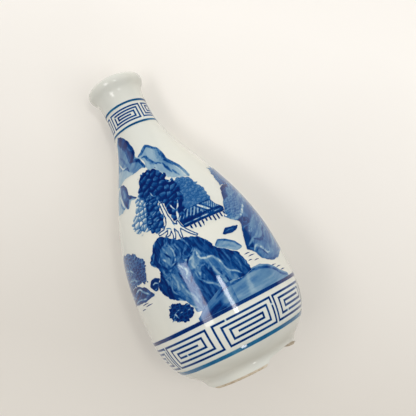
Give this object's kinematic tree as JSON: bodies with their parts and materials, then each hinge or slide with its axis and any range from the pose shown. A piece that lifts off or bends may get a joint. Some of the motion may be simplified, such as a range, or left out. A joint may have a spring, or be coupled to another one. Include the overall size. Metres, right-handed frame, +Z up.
{
  "type": "sake bottle",
  "caption": "Pear-shaped porcelain sake bottle with a flared lip, narrow neck and foot ring, white glaze, and cobalt fret bands and a landscape print.",
  "frame": {"origin": "middle of the foot ring's resting plane", "axes": "+Z up along the bottle's axis to the mouth; the printed front faces -Y"},
  "size_m": [0.0808, 0.081, 0.168],
  "materials": {
    "porcelain": "unglazed biscuit, slightly stained on the foot's bare edge",
    "clear_glaze": "glossy, faintly grey-blue white",
    "cobalt_navy": "glossy, dark navy line",
    "cobalt_teal": "glossy, brushed teal-blue line, uneven",
    "cobalt_deep": "glossy, dark cobalt wash with pale veins",
    "cobalt_mid": "glossy, middle cobalt wash",
    "cobalt_pale": "glossy, pale cobalt wash with dark outlines"
  },
  "bodies": {
    "root": {"porcelain_body": "porcelain", "glaze_coat": "clear_glaze", "recess_glaze": "clear_glaze", "foot_line_upper": "cobalt_navy", "foot_line_lower": "cobalt_teal", "neck_line_upper": "cobalt_teal", "neck_line_lower": "cobalt_teal", "foot_fret": "cobalt_navy", "neck_fret": "cobalt_navy", "far_peak": "cobalt_deep", "near_ridge": "cobalt_mid", "mountain": "cobalt_pale", "tree_crown": "cobalt_deep", "tree_trunk": "cobalt_navy", "pavilion_roof": "cobalt_mid", "pavilion_stilts": "cobalt_navy", "rock": "cobalt_deep", "rock_foot": "cobalt_deep", "shrub": "cobalt_navy", "hill": "cobalt_pale", "boat": "cobalt_deep", "cliff": "cobalt_mid", "cliff_pines": "cobalt_mid", "shore": "cobalt_pale", "grove": "cobalt_mid", "grove_rocks": "cobalt_mid", "hut": "cobalt_deep", "water_lines": "cobalt_mid", "back_range": "cobalt_pale", "back_island": "cobalt_mid", "back_pine": "cobalt_deep", "back_shore": "cobalt_pale"}
  },
  "joints": []
}
